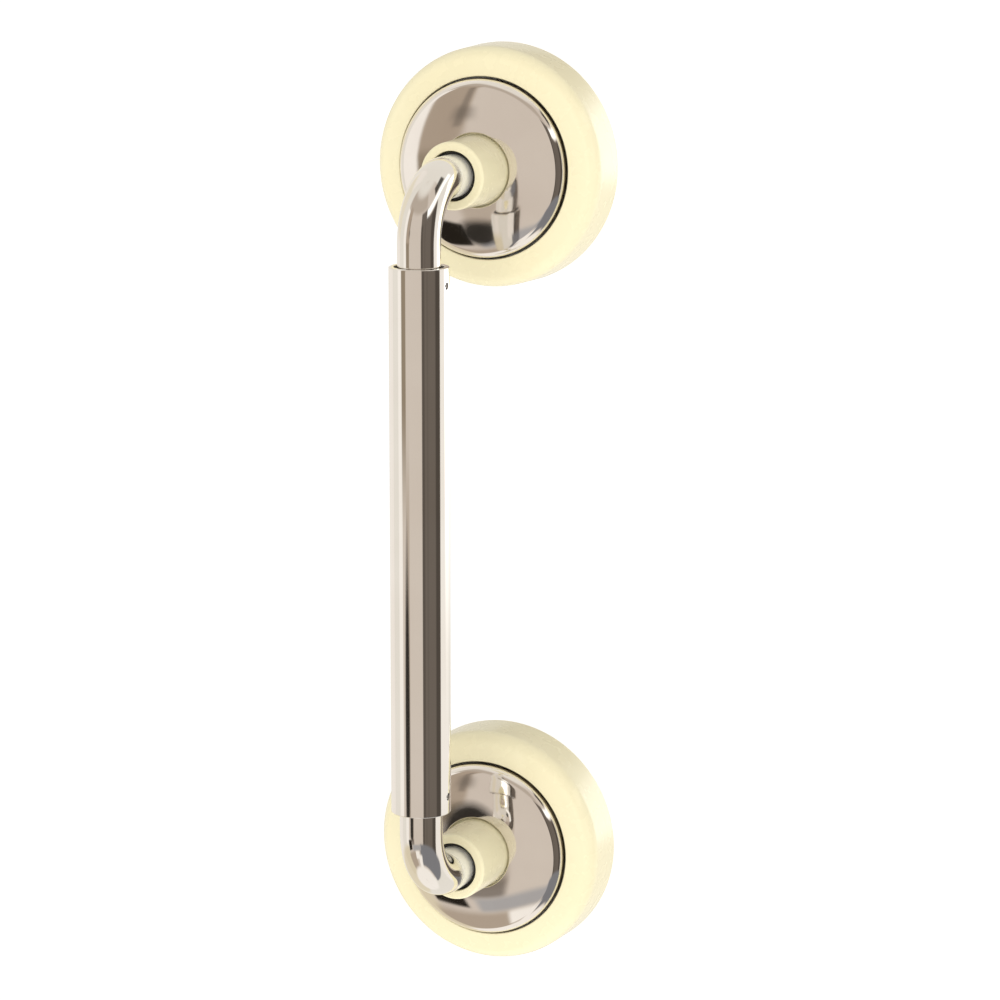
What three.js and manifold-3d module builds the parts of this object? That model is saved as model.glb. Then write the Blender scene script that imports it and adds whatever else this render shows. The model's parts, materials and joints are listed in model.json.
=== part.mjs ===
// A suction grab bar. Two bent tubes carry a fatter grip sleeve between them, and each tube ends in a round
// suction pod. A pod's outer shell is turned a quarter turn clockwise to lock it to the wall: three ramps
// inside the shell climb three lugs on the fixed core, so the shell drives a pressure ring onto the rim of
// the soft suction pad while the core holds the middle of the pad back.
//
// Millimetres, +Z up. The wall is the plane y = 0 and the bar stands out towards -Y. The origin is on the
// wall, midway between the two pods. The pieces are posed locked.

import * as THREE from "three";
import { mergeVertices } from "three/addons/utils/BufferGeometryUtils.js";
import Module from "manifold-3d";

const wasm = await Module();
wasm.setup();

// ---- Driving dimensions -----------------------------------------------------------------------------

const GAP = 0.3; // clearance left between pieces that touch
const POD_SPACING = 297; // between the axes of the two pods
const BAR_STANDOFF = 90.4; // wall to the axis of the grip

const TUBE_RADIUS = 9;
const TUBE_WALL = 1;
const BEND_RADIUS = 25; // of the tube's centre line
const TUBE_IN_GRIP = 60; // length of tube hidden in the grip sleeve

const GRIP_RADIUS = 12.5;
const GRIP_WALL = 1;
const GRIP_LENGTH = 230;
const GRUB_FROM_END = 7.4; // grub screw's axis to the end of the sleeve
const GRUB_RADIUS = 1.25;

const SHELL_RADIUS = 51.5; // at the wall
const SHELL_SHOULDER_RADIUS = 50.9; // where the side meets the rounded shoulder
const SHELL_DEPTH = 26.2; // front lip above the wall
const SHELL_WALL = 2.9;
const SHOULDER_FILLET = 6;
const SHELL_OPENING = 38.7; // radius of the hole that the cover sits in

const COVER_RADIUS = 37.8;
const COVER_TOP = 34.95; // height of the cover's domed face on the pod's axis
const COVER_FALL = 8.9e-5; // the face falls by this times the cube of the radius
const COVER_ROLL = 5; // radius that the cover's edge is rolled over
const COVER_THICKNESS = 1.3;

const COLLAR_BASE_RADIUS = 14.9;
const COLLAR_TOP_RADIUS = 14.3;
const COLLAR_BORE = 10.5;
const COLLAR_TOP = 58.4;

const PAD_RADIUS = 50.6;
const STUD_RADIUS = 4;

const TRAVEL = 3; // how far the shell moves in a quarter turn
const TURN = 90; // degrees
const LUGS = 3;

// Heights above the wall at which the stacked pieces of a pod meet.
const PAD_LIP = 1.1;
const PAD_UNDER_RING = 2.2;
const PAD_BOSS = 9.5;
const RING_TOP = 5.2;
const RAMP_TOP = 12; // the ramps' upper face under a locked lug
const LUG_THICKNESS = 3;
const HUB_TOP = 30.1;
const TUBE_END = 32.4;

const LARGE = 32; // segments round a big turned piece
const MEDIUM = 24;
const SMALL = 16;
const TINY = 8;

// ---- Making solids ----------------------------------------------------------------------------------

// Points [radius, height] along an arc about a centre, with angles in degrees from the radius towards the height.
function arc(centreRadius, centreHeight, radius, from, to, steps) {
  return Array.from({ length: steps + 1 }, (_, i) => {
    const angle = THREE.MathUtils.degToRad(from + ((to - from) * i) / steps);
    return [centreRadius + radius * Math.cos(angle), centreHeight + radius * Math.sin(angle)];
  });
}

// A solid turned about the local Y axis from the corners [radius, height] of its half section.
function turned(corners, segments) {
  const loop = corners.map(([radius, height]) => new THREE.Vector2(radius, height));
  const solidCore = corners[0][0] === 0 && corners[corners.length - 1][0] === 0;
  if (THREE.ShapeUtils.area(loop) < 0) loop.reverse();
  if (!solidCore) loop.push(loop[0].clone());
  return new THREE.LatheGeometry(loop, segments);
}

// A block bent round the local Y axis. Its low and high faces are functions of the angle in degrees.
function bentBlock({ inner, outer, low, high, from, to }) {
  const steps = Math.max(1, Math.round((to - from) / 9));
  const block = new THREE.BoxGeometry(1, 1, 1, steps, 1, 1);
  const corner = block.getAttribute("position");
  for (let i = 0; i < corner.count; i++) {
    const degrees = from + (corner.getX(i) + 0.5) * (to - from);
    const radius = inner + (corner.getZ(i) + 0.5) * (outer - inner);
    const height = corner.getY(i) < 0 ? low(degrees) : high(degrees);
    const angle = THREE.MathUtils.degToRad(degrees);
    corner.setXYZ(i, radius * Math.sin(angle), height, radius * Math.cos(angle));
  }
  return block;
}

const level = (height) => () => height;

function toSolid(geometry) {
  const bare = geometry.clone();
  bare.deleteAttribute("normal");
  bare.deleteAttribute("uv");
  const merged = mergeVertices(bare, 1e-3);
  return new wasm.Manifold(
    new wasm.Mesh({
      numProp: 3,
      vertProperties: merged.getAttribute("position").array,
      triVerts: new Uint32Array(merged.index.array),
    }),
  );
}

function toGeometry(solid) {
  const mesh = solid.getMesh();
  const geometry = new THREE.BufferGeometry();
  geometry.setAttribute("position", new THREE.BufferAttribute(mesh.vertProperties, mesh.numProp));
  geometry.setIndex(new THREE.BufferAttribute(mesh.triVerts, 1));
  geometry.computeVertexNormals();
  return geometry;
}

// A geometry with others joined to it and then others cut out of it.
function carved(geometry, { add = [], cut = [] }) {
  let solid = toSolid(geometry);
  for (const piece of add) solid = solid.add(toSolid(piece));
  for (const piece of cut) solid = solid.subtract(toSolid(piece));
  return toGeometry(solid);
}

// Calls make(degrees) for each of the evenly spaced places round a pod.
function around(count, make, start = 0) {
  return Array.from({ length: count }, (_, i) => make(start + (i * 360) / count));
}

// A peg along the local Y axis, standing at a radius and an angle round it.
function peg(radius, low, high, atRadius, degrees, segments = TINY) {
  const angle = THREE.MathUtils.degToRad(degrees);
  return new THREE.CylinderGeometry(radius, radius, high - low, segments).translate(
    atRadius * Math.sin(angle),
    (low + high) / 2,
    atRadius * Math.cos(angle),
  );
}

// ---- Materials --------------------------------------------------------------------------------------

const material = (color, roughness, metalness) =>
  new THREE.MeshStandardMaterial({ color, roughness, metalness });

const chrome = material(0xd6d2cc, 0.06, 1);
const ivory = material(0xf3e6bd, 0.28, 0);
const clearRubber = material(0xb9bdb8, 0.35, 0);
const blackRubber = material(0x151515, 0.6, 0);
const whitePlastic = material(0xe9e7e0, 0.5, 0);
const greyPlastic = material(0x3c3a38, 0.55, 0);
const steel = material(0xa8a9ab, 0.35, 1);

// ---- The pieces of a pod ----------------------------------------------------------------------------
// A pod is built with local Y pointing away from the wall and heights measured from it.

const LUG_REACH = 4.5; // half the angle that a lug takes up
const LUG_TIP = 46.9; // a lug passes the bead inside the shell's rim when the pod is put together
const RAMP_MARGIN = 1.5; // ramp left over beyond a lug at each end of the turn
const STOP_ANGLE = 3; // angle that a ramp's end stop takes up
const BUMP_HEIGHT = 0.8; // of the low stop that a lug snaps over when the pod is put together
const RAMP_INNER = 43.5;
const CORE_RADIUS = 42;
const RING_INNER = 40;
const TONGUE_INNER = 38.8;
const TONGUE_OUTER = 41;
const TONGUE_REACH = 7; // half the angle that a tongue takes up
const HALF_SPACING = 180 / LUGS; // tongues stand midway between lugs
const BEAD = 0.8; // how far the bead at the shell's rim stands inwards

const SCREW_CIRCLE = 12.1; // radius on which the collar's screws stand
const SCREW_SEAT = 23.7;
const SCREW_HEAD = 2.7;
const SCREW_SHANK = 1.4;
const SCREW_TIP = 40;
const PILOT_DEPTH = 41;

// The face of a ramp, or a face parallel to it, that has a given height at angle zero.
const ramped = (height) => (degrees) => height + (TRAVEL / TURN) * degrees;

// The cover's domed face, as a height above the wall.
const domeHeight = (radius) => COVER_TOP - COVER_FALL * radius ** 3;

function suctionPad() {
  const sealStart = 40; // the flat sealing lip runs from here to the rim
  const hollow = 2.6; // height of the dished middle above the wall
  const bossRadius = 17;
  const flangeTop = 7.6;
  const flangeBottom = 4.7;
  const flangeRadius = 14.3;
  return turned(
    [
      [0, hollow],
      [13, hollow - 0.3],
      [28, hollow / 2],
      [sealStart, 0],
      [PAD_RADIUS, 0],
      [PAD_RADIUS, PAD_LIP - 0.3],
      [PAD_RADIUS - 3.4, PAD_LIP],
      [PAD_RADIUS - 3.8, PAD_UNDER_RING],
      [RING_INNER - 1, PAD_UNDER_RING],
      [bossRadius, 5.2],
      [bossRadius, PAD_BOSS],
      [STUD_RADIUS + GAP, PAD_BOSS],
      [STUD_RADIUS + GAP, flangeTop],
      [flangeRadius, flangeTop],
      [flangeRadius, flangeBottom],
      [0, flangeBottom],
    ],
    LARGE,
  );
}

// The threaded stud whose round flange is moulded into the pad.
function padStud() {
  const flange = 14;
  const bottom = 5;
  const top = 7.3;
  const tip = 44;
  return turned(
    [
      [0, bottom],
      [flange, bottom],
      [flange, top],
      [STUD_RADIUS, top],
      [STUD_RADIUS, tip - 0.8],
      [STUD_RADIUS - 0.8, tip],
      [0, tip],
    ],
    SMALL,
  );
}

// The core never turns. It joins the stud and the bar, and its lugs stand on the shell's ramps.
function core() {
  const skirt = 20;
  const skirtBottom = 6.6;
  const flangeBottom = RAMP_TOP + GAP;
  const flangeTop = flangeBottom + LUG_THICKNESS;
  const upstandOuter = COVER_RADIUS - COVER_THICKNESS - GAP;
  const upstandTop = 24;
  const hub = 19.5;
  const body = turned(
    [
      [STUD_RADIUS + GAP, PAD_BOSS + GAP],
      [17.4, PAD_BOSS + GAP],
      [17.4, skirtBottom],
      [skirt, skirtBottom],
      [skirt, flangeBottom],
      [CORE_RADIUS, flangeBottom],
      [CORE_RADIUS, flangeTop],
      [upstandOuter, flangeTop],
      [upstandOuter, upstandTop],
      [upstandOuter - 2, upstandTop],
      [upstandOuter - 2, flangeTop],
      [hub, flangeTop],
      [hub, HUB_TOP],
      [STUD_RADIUS + GAP, HUB_TOP],
    ],
    LARGE,
  );
  const lugs = around(LUGS, (degrees) =>
    bentBlock({
      inner: CORE_RADIUS - 1,
      outer: LUG_TIP,
      low: ramped(flangeBottom),
      high: level(flangeTop),
      from: -LUG_REACH,
      to: LUG_REACH,
    }).rotateY(THREE.MathUtils.degToRad(degrees)),
  );
  const slots = around(LUGS, (degrees) =>
    bentBlock({
      inner: TONGUE_INNER - GAP,
      outer: TONGUE_OUTER + GAP,
      low: level(flangeBottom - 1),
      high: level(flangeTop + 1),
      from: HALF_SPACING - TONGUE_REACH - 0.6,
      to: HALF_SPACING + TONGUE_REACH + 0.6,
    }).rotateY(THREE.MathUtils.degToRad(degrees)),
  );
  const wells = around(LUGS, (degrees) => peg(SCREW_HEAD + GAP, PAD_BOSS, SCREW_SEAT, SCREW_CIRCLE, degrees));
  const clearances = around(LUGS, (degrees) =>
    peg(SCREW_SHANK + GAP, SCREW_SEAT - 1, HUB_TOP + 1, SCREW_CIRCLE, degrees),
  );
  return carved(body, { add: lugs, cut: [...slots, ...wells, ...clearances] });
}

// The slip ring between the turning shell and the pad. Its tongues run in the core's slots.
function pressureRing() {
  const outer = SHELL_RADIUS - SHELL_WALL - 1.1;
  const tongueTop = 15;
  const body = turned(
    [
      [RING_INNER, PAD_UNDER_RING + GAP],
      [outer, PAD_UNDER_RING + GAP],
      [outer, RING_TOP],
      [RING_INNER, RING_TOP],
    ],
    LARGE,
  );
  const tongues = around(LUGS, (degrees) =>
    bentBlock({
      inner: TONGUE_INNER,
      outer: TONGUE_OUTER,
      low: level(PAD_UNDER_RING + GAP),
      high: level(tongueTop),
      from: HALF_SPACING - TONGUE_REACH,
      to: HALF_SPACING + TONGUE_REACH,
    }).rotateY(THREE.MathUtils.degToRad(degrees)),
  );
  return carved(body, { add: tongues });
}

// The turning shell, with a ramp for each lug. A stop ends the turn at the locked end of a ramp and a low
// bump at the open end.
function shell() {
  const rim = PAD_LIP + GAP;
  const inside = SHELL_RADIUS - SHELL_WALL - 0.6;
  const shoulder = SHELL_SHOULDER_RADIUS - SHOULDER_FILLET;
  const shoulderHeight = 18.8;
  const body = turned(
    [
      [SHELL_RADIUS, rim],
      [SHELL_RADIUS, rim + 1],
      ...arc(shoulder, shoulderHeight, SHOULDER_FILLET, 0, 80, 4),
      [SHELL_OPENING + 0.6, SHELL_DEPTH],
      [SHELL_OPENING, SHELL_DEPTH - 0.4],
      [SHELL_OPENING, SHELL_DEPTH - 2.6],
      [shoulder - 0.5, 21.8],
      [inside - 0.8, 19.6],
      [inside, 17.6],
      [inside, PAD_UNDER_RING],
      [inside - BEAD, PAD_UNDER_RING],
      [inside - BEAD, rim],
    ],
    LARGE,
  );
  const rampStart = -TURN - LUG_REACH - RAMP_MARGIN;
  const rampEnd = LUG_REACH + RAMP_MARGIN;
  const rampStretch = (high, from, to) =>
    around(LUGS, (degrees) =>
      bentBlock({
        inner: RAMP_INNER,
        outer: inside + GAP,
        low: level(RING_TOP + GAP),
        high,
        from,
        to,
      }).rotateY(THREE.MathUtils.degToRad(degrees)),
    );
  const ramps = rampStretch(ramped(RAMP_TOP), rampStart, rampEnd);
  const stops = rampStretch(ramped(RAMP_TOP + LUG_THICKNESS), rampEnd - 0.1, rampEnd + STOP_ANGLE);
  const bumps = rampStretch(ramped(RAMP_TOP + BUMP_HEIGHT), rampStart - STOP_ANGLE, rampStart + 0.1);
  return carved(body, { add: [...ramps, ...stops, ...bumps] });
}

// The mirror-bright domed cover. Its skirt clips over the core's upstand.
function faceCover() {
  const hole = COLLAR_BASE_RADIUS + GAP;
  const domeRadii = [hole, 22, 28.5];
  const tilt = 72.6; // angle at which the dome runs into the rolled edge
  const rollCentre = COVER_RADIUS - COVER_ROLL;
  const tangent = rollCentre + COVER_ROLL * Math.cos(THREE.MathUtils.degToRad(tilt));
  const rollHeight = domeHeight(tangent) - COVER_ROLL * Math.sin(THREE.MathUtils.degToRad(tilt));
  const rollInside = COVER_ROLL - COVER_THICKNESS;
  const skirtBottom = 19.6;
  return turned(
    [
      ...domeRadii.map((radius) => [radius, domeHeight(radius)]),
      ...arc(rollCentre, rollHeight, COVER_ROLL, tilt, 0, 4),
      [COVER_RADIUS, skirtBottom],
      [rollCentre + rollInside, skirtBottom],
      ...arc(rollCentre, rollHeight, rollInside, 0, tilt, 3),
      ...domeRadii.toReversed().map((radius) => [radius, domeHeight(radius) - COVER_THICKNESS]),
    ],
    LARGE,
  );
}

// The ivory neck that the tube runs into, screwed to the core from behind.
function collar() {
  const foot = 18.8;
  const footTop = 32;
  const stepHeight = 48;
  const edge = 1.4;
  const body = turned(
    [
      [TUBE_RADIUS + GAP, HUB_TOP + GAP],
      [foot, HUB_TOP + GAP],
      [foot, footTop],
      [COLLAR_BASE_RADIUS, footTop],
      [COLLAR_BASE_RADIUS, domeHeight(COLLAR_BASE_RADIUS)],
      ...arc(COLLAR_TOP_RADIUS - edge, COLLAR_TOP - edge, edge, 0, 90, 3),
      [COLLAR_BORE, COLLAR_TOP],
      [COLLAR_BORE, stepHeight],
      [TUBE_RADIUS + GAP, stepHeight],
    ],
    MEDIUM,
  );
  const pilots = around(LUGS, (degrees) =>
    peg(SCREW_SHANK + GAP, HUB_TOP - 1, PILOT_DEPTH, SCREW_CIRCLE, degrees),
  );
  return carved(body, { cut: pilots });
}

function collarSeal() {
  const low = 48.3;
  const high = COLLAR_TOP - 1.6;
  return turned(
    [
      [TUBE_RADIUS + GAP, low],
      [COLLAR_BORE - GAP, low],
      [COLLAR_BORE - GAP, high],
      [TUBE_RADIUS + GAP, high],
    ],
    MEDIUM,
  );
}

function collarScrew() {
  const body = turned(
    [
      [0, SCREW_SEAT - 2.1],
      [SCREW_HEAD, SCREW_SEAT - 2.1],
      [SCREW_HEAD, SCREW_SEAT - GAP],
      [SCREW_SHANK, SCREW_SEAT - GAP],
      [SCREW_SHANK, SCREW_TIP - 1.2],
      [0, SCREW_TIP],
    ],
    TINY,
  );
  const bladeWidth = 0.7;
  const blades = [0, Math.PI / 2].map((turn) =>
    new THREE.BoxGeometry(bladeWidth, 2, SCREW_HEAD * 1.2).rotateY(turn).translate(0, SCREW_SEAT - 2.2, 0),
  );
  return carved(body, { cut: blades });
}

// The threaded plug welded into the end of the tube, which the stud screws into.
function tubePlug() {
  const outer = TUBE_RADIUS - TUBE_WALL - GAP;
  const length = 14;
  return turned(
    [
      [STUD_RADIUS + GAP, TUBE_END],
      [outer, TUBE_END],
      [outer, TUBE_END + length],
      [STUD_RADIUS + GAP, TUBE_END + length],
    ],
    SMALL,
  );
}

function plugWasher() {
  const outer = TUBE_RADIUS - GAP;
  return turned(
    [
      [STUD_RADIUS + GAP, HUB_TOP + GAP],
      [outer, HUB_TOP + GAP],
      [outer, TUBE_END - GAP],
      [STUD_RADIUS + GAP, TUBE_END - GAP],
    ],
    SMALL,
  );
}

// ---- The pieces of the bar --------------------------------------------------------------------------

// The centre line of a bent tube: straight out of a pod, round the bend and down into the grip. Each
// straight takes one step and the bend takes the rest, so that a sweep spends its steps on the bend.
class BentLine extends THREE.Curve {
  constructor(bendSteps) {
    super();
    this.steps = bendSteps + 2;
    this.bendShare = bendSteps / this.steps;
  }

  getPoint(t, target = new THREE.Vector3()) {
    const podAxis = POD_SPACING / 2;
    const bendStart = -(BAR_STANDOFF - BEND_RADIUS);
    const share = 1 / this.steps;
    if (t <= share) {
      return target.set(0, THREE.MathUtils.lerp(-TUBE_END, bendStart, t / share), podAxis);
    }
    if (t < share + this.bendShare) {
      const angle = ((t - share) / this.bendShare) * (Math.PI / 2);
      return target.set(
        0,
        bendStart - BEND_RADIUS * Math.sin(angle),
        podAxis - BEND_RADIUS * (1 - Math.cos(angle)),
      );
    }
    const hiddenEnd = GRIP_LENGTH / 2 - TUBE_IN_GRIP;
    const done = (t - share - this.bendShare) / share;
    return target.set(0, -BAR_STANDOFF, THREE.MathUtils.lerp(podAxis - BEND_RADIUS, hiddenEnd, done));
  }

  getUtoTmapping(u) {
    return u;
  }
}

function elbowTube() {
  const section = new THREE.Shape().absarc(0, 0, TUBE_RADIUS, 0, Math.PI * 2, false);
  section.holes.push(new THREE.Path().absarc(0, 0, TUBE_RADIUS - TUBE_WALL, 0, Math.PI * 2, true));
  const line = new BentLine(8);
  return new THREE.ExtrudeGeometry(section, {
    steps: line.steps,
    curveSegments: SMALL / 2,
    extrudePath: line,
  });
}

// A hole for a grub screw, along X at a height on the bar's own axis.
function grubHole(height, radius) {
  return new THREE.CylinderGeometry(radius, radius, GRIP_RADIUS, TINY)
    .rotateZ(Math.PI / 2)
    .translate(TUBE_RADIUS + GRIP_RADIUS / 2, height, 0);
}

function gripSleeve() {
  const half = GRIP_LENGTH / 2;
  const edge = 0.3;
  const inner = GRIP_RADIUS - GRIP_WALL;
  const body = turned(
    [
      [inner, -half],
      [GRIP_RADIUS - edge, -half],
      [GRIP_RADIUS, -half + edge],
      [GRIP_RADIUS, half - edge],
      [GRIP_RADIUS - edge, half],
      [inner, half],
    ],
    MEDIUM,
  );
  const grubHeight = half - GRUB_FROM_END;
  return carved(body, {
    cut: [grubHole(grubHeight, GRUB_RADIUS + GAP), grubHole(-grubHeight, GRUB_RADIUS + GAP)],
  });
}

// A spacer bush between tube and sleeve, between two heights on the bar's axis.
function spacerBush(low, high) {
  return turned(
    [
      [TUBE_RADIUS + GAP, low],
      [GRIP_RADIUS - GRIP_WALL - GAP, low],
      [GRIP_RADIUS - GRIP_WALL - GAP, high],
      [TUBE_RADIUS + GAP, high],
    ],
    SMALL,
  );
}

function grubScrew() {
  const inner = TUBE_RADIUS + GAP;
  const outer = GRIP_RADIUS - 0.6;
  const socket = 0.65;
  const body = new THREE.CylinderGeometry(GRUB_RADIUS, GRUB_RADIUS, outer - inner, TINY);
  const key = new THREE.CylinderGeometry(socket, socket, 2, 6).translate(0, -(outer - inner) / 2, 0);
  return carved(body, { cut: [key] })
    .rotateZ(Math.PI / 2)
    .translate((inner + outer) / 2, 0, 0);
}

// ---- Assembly ---------------------------------------------------------------------------------------

function named(name, geometry, look) {
  const mesh = new THREE.Mesh(geometry, look);
  mesh.name = name;
  return mesh;
}

function pod(side) {
  const group = new THREE.Group();
  group.add(
    named(`${side}_suction_pad`, suctionPad(), clearRubber),
    named(`${side}_pad_stud`, padStud(), steel),
    named(`${side}_core`, core(), whitePlastic),
    named(`${side}_pressure_ring`, pressureRing(), whitePlastic),
    named(`${side}_shell`, shell(), ivory),
    named(`${side}_face_cover`, faceCover(), chrome),
    named(`${side}_collar`, collar(), ivory),
    named(`${side}_collar_seal`, collarSeal(), blackRubber),
    named(`${side}_tube_plug`, tubePlug(), steel),
    named(`${side}_plug_washer`, plugWasher(), steel),
  );
  around(LUGS, (degrees) => {
    const angle = THREE.MathUtils.degToRad(degrees);
    const number = Math.round((degrees * LUGS) / 360) + 1;
    const screw = named(`${side}_collar_screw_${number}`, collarScrew(), steel);
    screw.position.set(SCREW_CIRCLE * Math.sin(angle), 0, SCREW_CIRCLE * Math.cos(angle));
    group.add(screw);
  });
  group.rotation.z = Math.PI; // local Y points away from the wall
  return group;
}

// One end of the bar, for the upper pod: the bent tube, its two bushes and its grub screw.
function barEnd(side) {
  const group = new THREE.Group();
  const mouth = GRIP_LENGTH / 2;
  const hiddenEnd = mouth - TUBE_IN_GRIP;
  const grubHeight = mouth - GRUB_FROM_END;
  const mouthBush = carved(spacerBush(mouth - 12, mouth - 1), {
    cut: [grubHole(grubHeight, GRUB_RADIUS + GAP)],
  });
  const tube = named(`${side}_elbow_tube`, elbowTube(), chrome);
  const onGrip = new THREE.Group();
  const grub = named(`${side}_grub_screw`, grubScrew(), steel);
  grub.position.y = grubHeight;
  onGrip.add(
    named(`${side}_mouth_bush`, mouthBush, greyPlastic),
    named(`${side}_inner_bush`, spacerBush(hiddenEnd + 2, hiddenEnd + 12), greyPlastic),
    grub,
  );
  onGrip.rotation.x = Math.PI / 2; // local Y runs up the grip
  onGrip.position.y = -BAR_STANDOFF;
  group.add(tube, onGrip);
  return group;
}

const grabBar = new THREE.Group();

const grip = named("grip_sleeve", gripSleeve(), chrome);
grip.rotation.x = Math.PI / 2;
grip.position.y = -BAR_STANDOFF;
grabBar.add(grip);

const upperPod = pod("upper");
upperPod.position.z = POD_SPACING / 2;
const lowerPod = pod("lower");
lowerPod.position.z = -POD_SPACING / 2;
grabBar.add(upperPod, lowerPod);

const upperEnd = barEnd("upper");
const lowerEnd = barEnd("lower");
lowerEnd.scale.z = -1; // the lower end mirrors the upper one
grabBar.add(upperEnd, lowerEnd);

export default grabBar;
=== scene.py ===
"""A suction grab bar: its fine surfaces and materials, and a plain studio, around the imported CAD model.

Metres, +Z up. The wall is the plane y = 0 and the bar stands out towards -Y.
"""

import json
import math

import bmesh
import bpy
from mathutils import Matrix, Vector


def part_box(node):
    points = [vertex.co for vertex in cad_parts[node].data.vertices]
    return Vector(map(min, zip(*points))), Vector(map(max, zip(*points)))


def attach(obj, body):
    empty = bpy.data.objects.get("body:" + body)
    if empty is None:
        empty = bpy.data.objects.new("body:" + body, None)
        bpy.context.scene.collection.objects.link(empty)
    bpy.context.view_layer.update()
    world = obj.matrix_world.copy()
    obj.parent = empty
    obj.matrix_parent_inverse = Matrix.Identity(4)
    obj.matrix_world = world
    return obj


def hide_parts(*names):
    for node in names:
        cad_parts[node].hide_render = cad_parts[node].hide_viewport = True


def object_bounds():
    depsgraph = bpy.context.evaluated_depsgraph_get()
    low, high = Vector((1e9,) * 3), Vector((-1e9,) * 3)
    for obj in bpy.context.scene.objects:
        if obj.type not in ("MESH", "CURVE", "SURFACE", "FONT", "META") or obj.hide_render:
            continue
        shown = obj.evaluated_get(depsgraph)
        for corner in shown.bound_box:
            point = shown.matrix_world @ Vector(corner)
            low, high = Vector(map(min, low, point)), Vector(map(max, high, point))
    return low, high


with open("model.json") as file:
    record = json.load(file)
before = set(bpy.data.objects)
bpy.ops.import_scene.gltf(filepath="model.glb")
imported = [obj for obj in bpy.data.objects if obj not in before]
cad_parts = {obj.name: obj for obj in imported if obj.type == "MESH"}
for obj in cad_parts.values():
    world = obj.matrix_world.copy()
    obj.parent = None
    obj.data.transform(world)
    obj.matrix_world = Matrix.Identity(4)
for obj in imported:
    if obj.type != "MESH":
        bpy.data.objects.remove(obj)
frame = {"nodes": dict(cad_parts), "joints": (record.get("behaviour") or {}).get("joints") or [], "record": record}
cad_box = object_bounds()

MM = 0.001
SIDES = ("upper", "lower")

# ---- Sizes read from the frame ----------------------------------------------------------------------


def joint(name):
    return next(row for row in frame["joints"] if row["name"] == name)


def centre(node):
    low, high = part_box(node)
    return (Vector(low) + Vector(high)) / 2


def radius_of(node):
    low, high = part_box(node)
    return (high[0] - low[0]) / 2 / MM


def heights_of(node):
    """How far a node's back and front are from the wall, in millimetres."""
    low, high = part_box(node)
    return -high[1] / MM, -low[1] / MM


POD_Z = {side: Vector(joint(f"{side}_shell_turn")["pos_m"]).z for side in SIDES}
STANDOFF = -centre("grip_sleeve").y / MM

# ---- Sizes of the fine surfaces, in millimetres -----------------------------------------------------

SMOOTH = 192  # segments round a pod's pieces
TUBE_SEGMENTS = 96

OPENING = 38.7  # radius of the shell's front opening
SHELL_FACE_EDGE = 23.7  # where the shell's front face would meet its side, above the wall
SHELL_SHOULDER = 6.6
SHELL_WALL = 2.9
SHELL_BEAD = 0.8  # height and depth of the bead inside its rim
RAMP_INNER = 43.5
RAMP_LOW = 5.5
RAMP_TOP = 12.0  # height of a ramp's face where its lug rests when the pod is locked
LUG_ANGLES = (0, 120, 240)
# (from, to, height over the ramp's face) of a ramp, its end stop and the bump at its open end, in degrees
# clockwise from a lug as seen from the front
RAMP_RUNS = ((-6, 96, 0), (-9, -5.9, 3), (95.9, 99, 0.8))

COVER_TOP = 34.95  # the domed face's height on the pod's axis
COVER_FALL = 8.9e-5  # it falls by this times the cube of the radius
COVER_ROLL = 5.0  # radius that the cover's edge is rolled over
COVER_TILT = 72.6  # angle, in degrees, at which the dome runs into that edge
COVER_SKIN = 1.3
COVER_GROOVE = 0.8  # dark gap left round the collar

COLLAR_BASE = 14.9  # radius where it leaves the cover
COLLAR_BORE = 10.5
COLLAR_STEP = 48.0  # height at which the bore widens for the seal
COLLAR_FOOT = 18.8
COLLAR_FOOT_TOP = 32

PAD_UNDER_RING = 2.2  # its thickness under the pressure ring
PAD_RIM = 0.8  # height of its edge
PAD_FLOOR = 2.6  # height of the dish's middle above the wall
PAD_BOSS = 17
FLANGE_RADIUS = 14.3  # pocket for the stud's flange
FLANGE_HEIGHTS = (4.7, 7.6)
STUD_HOLE = 4.3
LIP_RING_FIRST = 42.2  # radius of the first groove in the sealing lip
LIP_RING_STEP = 2.4
LIP_RING_DEPTH = 0.35

TUBE_RADIUS = 9.0
TUBE_WALL = 1.0
BEND_RADIUS = 25.0
CLEARANCE = 0.3

GRIP_WALL = 1.0
GRIP_LIP = 2.1  # how far the sleeve's rolled ends come in
GRUB_RADIUS = 1.25
GRUB_SOCKET = 0.65
GRUB_SOCKET_DEPTH = 1.2

# ---- Mesh making ------------------------------------------------------------------------------------


def arc(centre_radius, centre_height, radius, start, end, steps):
    """Outline points (radius, height, fillet) along an arc, in degrees from outwards towards up."""
    points = []
    for i in range(steps + 1):
        angle = math.radians(start + (end - start) * i / steps)
        out = centre_radius + radius * math.cos(angle)
        points.append((out, centre_height + radius * math.sin(angle), 0))
    return points


def rounded(corners, degrees_per_step=9):
    """A closed outline of 2-D points through corners (x, y, fillet), with each fillet drawn as an arc."""
    outline = []
    for i, (x, y, fillet) in enumerate(corners):
        corner = Vector((x, y))
        if fillet == 0:
            outline.append(corner)
            continue
        back = (Vector(corners[i - 1][:2]) - corner).normalized()
        ahead = (Vector(corners[(i + 1) % len(corners)][:2]) - corner).normalized()
        half = back.angle(ahead) / 2
        hub = corner + (back + ahead).normalized() * (fillet / math.sin(half))
        first = corner + back * (fillet / math.tan(half)) - hub
        last = corner + ahead * (fillet / math.tan(half)) - hub
        turn = first.angle_signed(last)
        steps = max(2, round(abs(math.degrees(turn)) / degrees_per_step))
        outline += [hub + Matrix.Rotation(-turn * k / steps, 2) @ first for k in range(steps + 1)]
    return outline


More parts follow.
